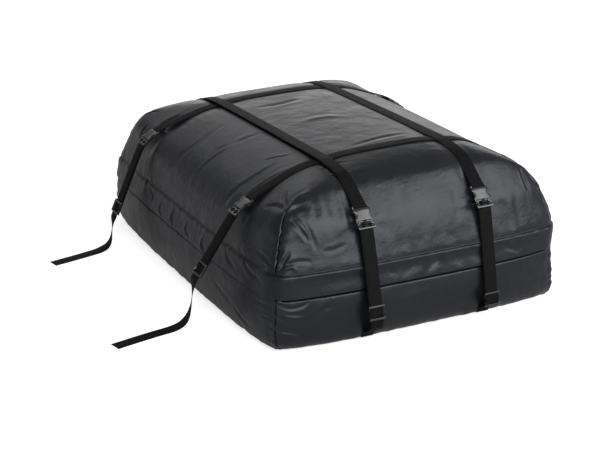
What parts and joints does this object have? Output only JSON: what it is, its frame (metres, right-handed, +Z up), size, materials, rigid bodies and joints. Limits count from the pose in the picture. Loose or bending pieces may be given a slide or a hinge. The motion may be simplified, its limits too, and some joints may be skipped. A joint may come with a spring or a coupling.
{
  "type": "rooftop cargo bag",
  "caption": "Soft box-shaped rooftop cargo bag, zipped shut under a storm flap and strapped lengthwise and crosswise with webbing and side-release buckles.",
  "frame": {"origin": "middle of the tub's flat bottom, on the ground", "axes": "+Z up, +Y from the short front to the rear along the bag's length, +X to the right along the front"},
  "size_m": [1.555, 1.2988, 0.4368],
  "materials": {
    "coated_fabric": "satin black coated polyester",
    "webbing": "matt black woven webbing",
    "buckle_plastic": "black moulded plastic with a soft sheen",
    "zip_tape": "black zip tape and nylon coil",
    "slider_metal": "black enamelled zip metal"
  },
  "bodies": {
    "bag": {"base_tub": "coated_fabric", "top_cover": "coated_fabric", "storm_flap": "coated_fabric", "rear_hinge_strip": "coated_fabric", "lower_zip_half": "zip_tape", "upper_zip_half": "zip_tape", "cross_strap_front": "webbing", "cross_strap_rear": "webbing", "long_strap_left": "webbing", "long_strap_right": "webbing", "front_left_socket": "buckle_plastic", "front_right_socket": "buckle_plastic", "rear_left_socket": "buckle_plastic", "rear_right_socket": "buckle_plastic", "left_front_socket": "buckle_plastic", "left_rear_socket": "buckle_plastic", "right_front_socket": "buckle_plastic", "right_rear_socket": "buckle_plastic"},
    "front_left_lower_end": {"front_left_prong_half": "buckle_plastic", "front_left_lower_strap": "webbing"},
    "front_left_adjuster": {"front_left_adjuster": "buckle_plastic"},
    "front_right_lower_end": {"front_right_prong_half": "buckle_plastic", "front_right_lower_strap": "webbing"},
    "front_right_adjuster": {"front_right_adjuster": "buckle_plastic"},
    "rear_left_lower_end": {"rear_left_prong_half": "buckle_plastic", "rear_left_lower_strap": "webbing"},
    "rear_left_adjuster": {"rear_left_adjuster": "buckle_plastic"},
    "rear_right_lower_end": {"rear_right_prong_half": "buckle_plastic", "rear_right_lower_strap": "webbing"},
    "rear_right_adjuster": {"rear_right_adjuster": "buckle_plastic"},
    "left_front_lower_end": {"left_front_prong_half": "buckle_plastic", "left_front_lower_strap": "webbing", "left_front_tail": "webbing"},
    "left_front_adjuster": {"left_front_adjuster": "buckle_plastic"},
    "left_rear_lower_end": {"left_rear_prong_half": "buckle_plastic", "left_rear_lower_strap": "webbing", "left_rear_tail": "webbing"},
    "left_rear_adjuster": {"left_rear_adjuster": "buckle_plastic"},
    "right_front_lower_end": {"right_front_prong_half": "buckle_plastic", "right_front_lower_strap": "webbing", "right_front_tail": "webbing"},
    "right_front_adjuster": {"right_front_adjuster": "buckle_plastic"},
    "right_rear_lower_end": {"right_rear_prong_half": "buckle_plastic", "right_rear_lower_strap": "webbing", "right_rear_tail": "webbing"},
    "right_rear_adjuster": {"right_rear_adjuster": "buckle_plastic"},
    "left_zip_slider": {"left_zip_slider": "slider_metal"},
    "left_pull_tab": {"left_pull_tab": "slider_metal"},
    "right_zip_slider": {"right_zip_slider": "slider_metal"},
    "right_pull_tab": {"right_pull_tab": "slider_metal"}
  },
  "joints": [
    {"name": "front_left_release", "type": "slide", "parent": "bag", "child": "front_left_lower_end", "axis": [0, -0.6858, -0.7278], "range_m": [0, 0.03]},
    {"name": "front_left_adjust", "type": "slide", "parent": "front_left_lower_end", "child": "front_left_adjuster", "axis": [0, -0.2662, -0.9639], "range_m": [-0.18, 0]},
    {"name": "front_right_release", "type": "slide", "parent": "bag", "child": "front_right_lower_end", "axis": [0, -0.6858, -0.7278], "range_m": [0, 0.03]},
    {"name": "front_right_adjust", "type": "slide", "parent": "front_right_lower_end", "child": "front_right_adjuster", "axis": [0, -0.2081, -0.9781], "range_m": [-0.21, 0]},
    {"name": "rear_left_release", "type": "slide", "parent": "bag", "child": "rear_left_lower_end", "axis": [0, 0.6858, -0.7278], "range_m": [0, 0.03]},
    {"name": "rear_left_adjust", "type": "slide", "parent": "rear_left_lower_end", "child": "rear_left_adjuster", "axis": [0, 0.2662, -0.9639], "range_m": [-0.18, 0]},
    {"name": "rear_right_release", "type": "slide", "parent": "bag", "child": "rear_right_lower_end", "axis": [0, 0.6858, -0.7278], "range_m": [0, 0.03]},
    {"name": "rear_right_adjust", "type": "slide", "parent": "rear_right_lower_end", "child": "rear_right_adjuster", "axis": [0, 0.2081, -0.9781], "range_m": [-0.21, 0]},
    {"name": "left_front_release", "type": "slide", "parent": "bag", "child": "left_front_lower_end", "axis": [-0.8387, 0, -0.5446], "range_m": [0, 0.03]},
    {"name": "left_front_adjust", "type": "slide", "parent": "left_front_lower_end", "child": "left_front_adjuster", "axis": [-0.5632, 0, -0.8263], "range_m": [-0.12, 0]},
    {"name": "left_rear_release", "type": "slide", "parent": "bag", "child": "left_rear_lower_end", "axis": [-0.8387, 0, -0.5446], "range_m": [0, 0.03]},
    {"name": "left_rear_adjust", "type": "slide", "parent": "left_rear_lower_end", "child": "left_rear_adjuster", "axis": [-0.4001, 0, -0.9165], "range_m": [-0.16, 0]},
    {"name": "right_front_release", "type": "slide", "parent": "bag", "child": "right_front_lower_end", "axis": [0.8387, 0, -0.5446], "range_m": [0, 0.03]},
    {"name": "right_front_adjust", "type": "slide", "parent": "right_front_lower_end", "child": "right_front_adjuster", "axis": [0.5632, 0, -0.8263], "range_m": [-0.12, 0]},
    {"name": "right_rear_release", "type": "slide", "parent": "bag", "child": "right_rear_lower_end", "axis": [0.8387, 0, -0.5446], "range_m": [0, 0.03]},
    {"name": "right_rear_adjust", "type": "slide", "parent": "right_rear_lower_end", "child": "right_rear_adjuster", "axis": [0.4001, 0, -0.9165], "range_m": [-0.16, 0]},
    {"name": "left_zip_slide", "type": "slide", "parent": "bag", "child": "left_zip_slider", "axis": [-1, 0, 0], "range_m": [0, 0.08]},
    {"name": "left_tab_hinge", "type": "hinge", "parent": "left_zip_slider", "child": "left_pull_tab", "pos_m": [-0.02, -0.58759, 0.20333], "axis": [0, 0.0905, 0.9959], "range_deg": [-3, 6]},
    {"name": "right_zip_slide", "type": "slide", "parent": "bag", "child": "right_zip_slider", "axis": [1, 0, 0], "range_m": [0, 0.08]},
    {"name": "right_tab_hinge", "type": "hinge", "parent": "right_zip_slider", "child": "right_pull_tab", "pos_m": [0.02, -0.58759, 0.20333], "axis": [0, -0.0905, -0.9959], "range_deg": [-3, 6]}
  ]
}
